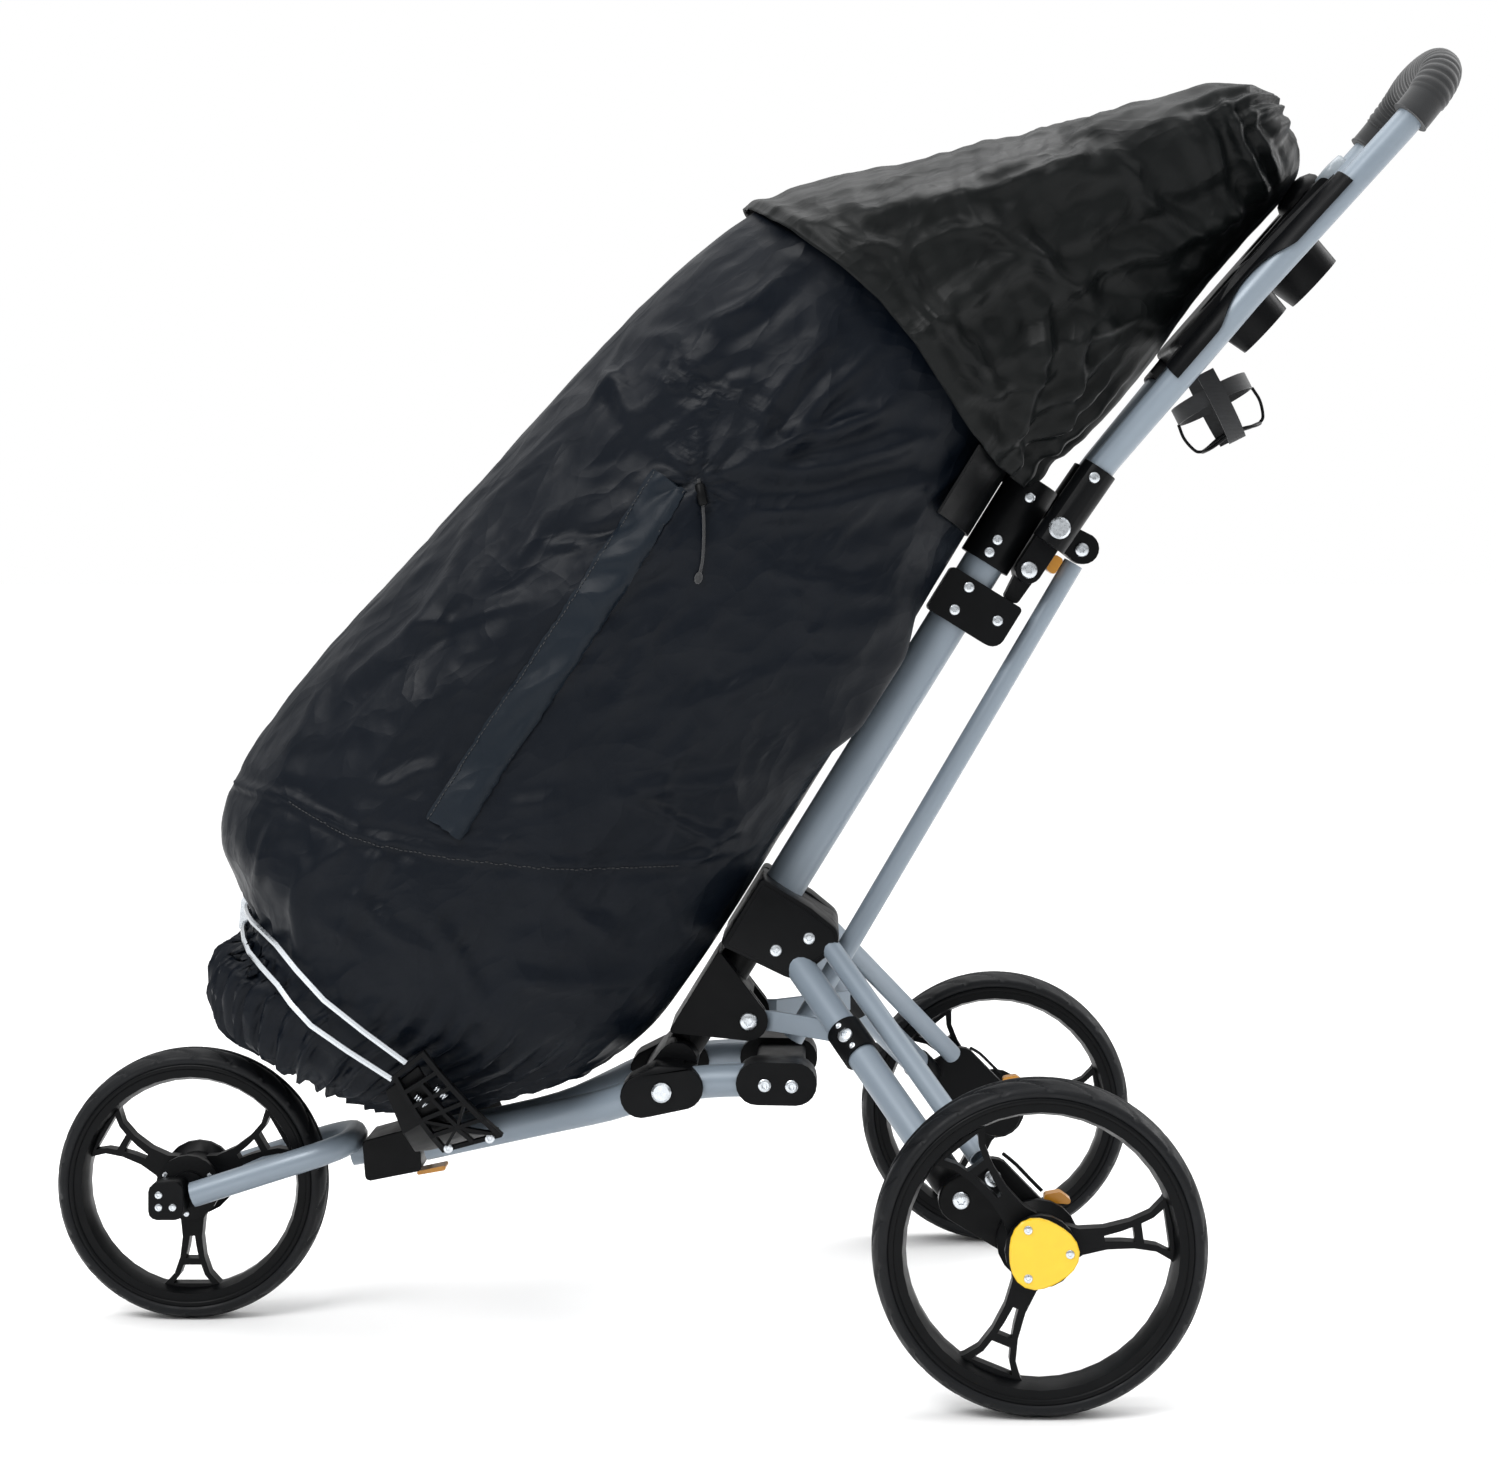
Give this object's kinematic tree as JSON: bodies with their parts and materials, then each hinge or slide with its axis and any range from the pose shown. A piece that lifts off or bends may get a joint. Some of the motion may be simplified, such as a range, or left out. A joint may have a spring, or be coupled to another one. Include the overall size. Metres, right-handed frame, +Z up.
{
  "type": "golf bag on push cart",
  "caption": "Folding push cart with a large wheel at each side and one in front, a telescoping column, a console handle and a golf bag under a rain cover and hood.",
  "frame": {"origin": "on the floor, under the middle of the bounding box", "axes": "+X towards the handle, +Y to the right of someone who pushes the cart towards -X, +Z up"},
  "size_m": [1.2604, 0.658, 1.1454],
  "materials": {
    "paint": "blue-grey satin powder coat",
    "black_paint": "black satin",
    "plastic": "fine-grained black nylon",
    "steel": "zinc plated",
    "tyre": "matte with curved tread grooves",
    "rubber": "cable sheath",
    "foam": "ribbed foam grip",
    "yellow": "yellow moulded cap",
    "amber": "amber lever",
    "webbing": "woven webbing",
    "cover_cloth": "coated nylon, slight sheen",
    "bag_cloth": "plain nylon"
  },
  "bodies": {
    "chassis": {"main_column": "paint", "lower_column": "black_paint", "gusset": "plastic", "foot_block": "plastic", "fold_bolt": "steel", "column_clamp": "plastic", "hinge_arm": "plastic", "top_sleeve": "plastic", "upper_cradle": "plastic", "strut": "paint", "handle_pivot_bolt": "steel"},
    "handle_latch": {"latch_slider": "amber"},
    "hub": {"hub_left": "plastic", "hub_right": "plastic"},
    "front_frame": {"frame_tube_left": "paint", "frame_tube_right": "paint", "knuckle_left": "plastic", "knuckle_right": "plastic", "end_block": "plastic", "front_collar": "plastic", "base_bracket_left": "plastic", "base_bracket_right": "plastic", "bag_hoop": "steel", "fork": "paint", "fork_bracket_left": "plastic", "fork_bracket_right": "plastic", "front_axle": "steel"},
    "fork_release": {"release_lever": "amber"},
    "front_wheel": {"front_rim": "plastic", "front_tyre": "tyre"},
    "handle": {"handle_tube": "paint", "grip": "foam", "handle_sleeve_left": "plastic", "handle_sleeve_right": "plastic", "console": "plastic", "bottle_holder": "webbing"},
    "bag": {"golf_bag": "bag_cloth", "rain_cover": "cover_cloth", "rain_hood": "cover_cloth"},
    "leg_left": {"leg_tube_left": "paint", "leg_collar_left": "plastic"},
    "brace_left": {"brace_tube_left": "paint"},
    "leg_link_left": {"leg_link_left": "paint"},
    "bracket_left": {"wheel_bracket_left": "plastic", "brake_cable_left": "rubber"},
    "brake_left": {"brake_lever_left": "amber"},
    "rear_wheel_left": {"rear_left_rim": "plastic", "rear_left_tyre": "tyre", "hub_cap_left": "yellow"},
    "leg_right": {"leg_tube_right": "paint", "leg_collar_right": "plastic"},
    "brace_right": {"brace_tube_right": "paint"},
    "leg_link_right": {"leg_link_right": "paint"},
    "bracket_right": {"wheel_bracket_right": "plastic", "brake_cable_right": "rubber"},
    "brake_right": {"brake_lever_right": "amber"},
    "rear_wheel_right": {"rear_right_rim": "plastic", "rear_right_tyre": "tyre", "hub_cap_right": "yellow"}
  },
  "joints": [
    {"name": "hub_slide", "type": "slide", "parent": "chassis", "child": "hub", "axis": [0.5262, 0, 0.8504], "range_m": [0, 0.085]},
    {"name": "leg_fold_left", "type": "hinge", "parent": "hub", "child": "leg_left", "pos_m": [0.0373, -0.0565, 0.3345], "axis": [0, 1, 0], "range_deg": [0, 47.6]},
    {"name": "brace_fold_left", "type": "hinge", "parent": "hub", "child": "brace_left", "pos_m": [0.0633, -0.0565, 0.3525], "axis": [0, 1, 0], "range_deg": [0, 47.6]},
    {"name": "bracket_level_left", "type": "hinge", "parent": "leg_left", "child": "bracket_left", "pos_m": [0.1763, -0.262, 0.1655], "axis": [0, -1, 0], "range_deg": [0, 47.6]},
    {"name": "link_swing_left", "type": "hinge", "parent": "chassis", "child": "leg_link_left", "pos_m": [-0.00274, -0.0333, 0.27392], "axis": [0, -1, 0], "range_deg": [0, 36]},
    {"name": "rear_spin_left", "type": "hinge", "parent": "bracket_left", "child": "rear_wheel_left", "pos_m": [0.238, -0.3, 0.135], "axis": [0, 1, 0], "continuous": true},
    {"name": "brake_press_left", "type": "hinge", "parent": "bracket_left", "child": "brake_left", "pos_m": [0.2472, -0.2652, 0.1668], "axis": [0, -1, 0], "range_deg": [0, 14], "stiffness_Nm_per_rad": 0.3},
    {"name": "leg_fold_right", "type": "hinge", "parent": "hub", "child": "leg_right", "pos_m": [0.0373, 0.0565, 0.3345], "axis": [0, 1, 0], "range_deg": [0, 47.6]},
    {"name": "brace_fold_right", "type": "hinge", "parent": "hub", "child": "brace_right", "pos_m": [0.0633, 0.0565, 0.3525], "axis": [0, 1, 0], "range_deg": [0, 47.6]},
    {"name": "bracket_level_right", "type": "hinge", "parent": "leg_right", "child": "bracket_right", "pos_m": [0.1763, 0.262, 0.1655], "axis": [0, -1, 0], "range_deg": [0, 47.6]},
    {"name": "link_swing_right", "type": "hinge", "parent": "chassis", "child": "leg_link_right", "pos_m": [-0.00274, 0.0333, 0.27392], "axis": [0, -1, 0], "range_deg": [0, 36]},
    {"name": "rear_spin_right", "type": "hinge", "parent": "bracket_right", "child": "rear_wheel_right", "pos_m": [0.238, 0.3, 0.135], "axis": [0, 1, 0], "continuous": true},
    {"name": "brake_press_right", "type": "hinge", "parent": "bracket_right", "child": "brake_right", "pos_m": [0.2472, 0.2652, 0.1668], "axis": [0, -1, 0], "range_deg": [0, 14], "stiffness_Nm_per_rad": 0.3},
    {"name": "bag_lift", "type": "slide", "parent": "chassis", "child": "bag", "axis": [0.5262, 0, 0.8504], "range_m": [0, 1.2]},
    {"name": "front_fold", "type": "hinge", "parent": "chassis", "child": "front_frame", "pos_m": [-0.078, 0, 0.219], "axis": [0, 1, 0], "range_deg": [0, 92.8]},
    {"name": "front_spin", "type": "hinge", "parent": "front_frame", "child": "front_wheel", "pos_m": [-0.508, 0, 0.122], "axis": [0, 1, 0], "continuous": true},
    {"name": "handle_fold", "type": "hinge", "parent": "chassis", "child": "handle", "pos_m": [0.2735, 0, 0.71519], "axis": [0, 1, 0], "range_deg": [0, 95]},
    {"name": "handle_latch_slide", "type": "slide", "parent": "chassis", "child": "handle_latch", "axis": [-0.5262, 0, -0.8504], "range_m": [0, 0.005], "stiffness_N_per_m": 150},
    {"name": "fork_release_press", "type": "hinge", "parent": "front_frame", "child": "fork_release", "pos_m": [-0.302, 0, 0.132], "axis": [0, 1, 0], "range_deg": [0, 12], "stiffness_Nm_per_rad": 0.3}
  ],
  "couplings": [
    {"joint": "leg_fold_left", "follows": "hub_slide", "rad_per_m": 9.75},
    {"joint": "brace_fold_left", "follows": "hub_slide", "rad_per_m": 9.75},
    {"joint": "bracket_level_left", "follows": "hub_slide", "rad_per_m": 9.75},
    {"joint": "link_swing_left", "follows": "hub_slide", "rad_per_m": 7.37},
    {"joint": "leg_fold_right", "follows": "hub_slide", "rad_per_m": 9.75},
    {"joint": "brace_fold_right", "follows": "hub_slide", "rad_per_m": 9.75},
    {"joint": "bracket_level_right", "follows": "hub_slide", "rad_per_m": 9.75},
    {"joint": "link_swing_right", "follows": "hub_slide", "rad_per_m": 7.37},
    {"joint": "brake_press_right", "follows": "brake_press_left", "ratio": 1},
    {"joint": "front_fold", "follows": "bag_lift", "rad_per_m": 1.35}
  ]
}
